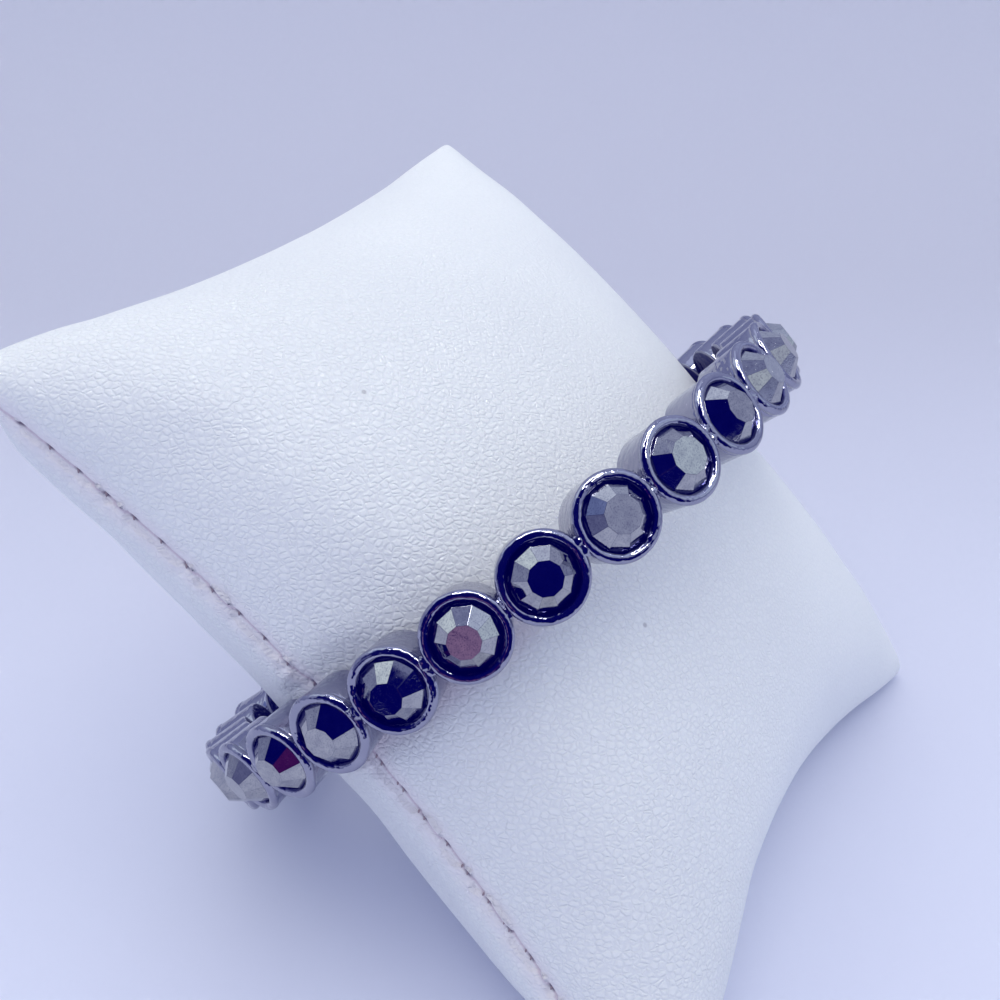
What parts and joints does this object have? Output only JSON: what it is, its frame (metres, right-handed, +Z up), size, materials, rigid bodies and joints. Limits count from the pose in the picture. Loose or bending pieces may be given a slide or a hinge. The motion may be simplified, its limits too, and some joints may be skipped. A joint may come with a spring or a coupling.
{
  "type": "crystal bangle on display pillow",
  "caption": "Closed round bangle of soldered metal cups, each holding a faceted crystal, pushed over a small leaning display pillow.",
  "frame": {"origin": "on the surface the object rests on, under the middle of its outer box", "axes": "+X across the pillow, +Y towards the pillow's upper end, so that the bangle's axis rises towards +Y, +Z up"},
  "size_m": [0.0744, 0.0684, 0.059],
  "materials": {
    "gunmetal_plate": "polished dark nickel plate",
    "crystal": "faceted crystal with a dark mirror coating",
    "leatherette": "white leatherette with a fine pebble grain"
  },
  "bodies": {
    "root": {"cup_ring": "gunmetal_plate", "pillow": "leatherette", "crystal_01": "crystal", "crystal_02": "crystal", "crystal_03": "crystal", "crystal_04": "crystal", "crystal_05": "crystal", "crystal_06": "crystal", "crystal_07": "crystal", "crystal_08": "crystal", "crystal_09": "crystal", "crystal_10": "crystal", "crystal_11": "crystal", "crystal_12": "crystal", "crystal_13": "crystal", "crystal_14": "crystal", "crystal_15": "crystal", "crystal_16": "crystal", "crystal_17": "crystal", "crystal_18": "crystal", "crystal_19": "crystal", "crystal_20": "crystal", "crystal_21": "crystal", "crystal_22": "crystal", "crystal_23": "crystal", "crystal_24": "crystal", "crystal_25": "crystal", "crystal_26": "crystal", "crystal_27": "crystal", "crystal_28": "crystal", "crystal_29": "crystal", "crystal_30": "crystal"}
  },
  "joints": []
}
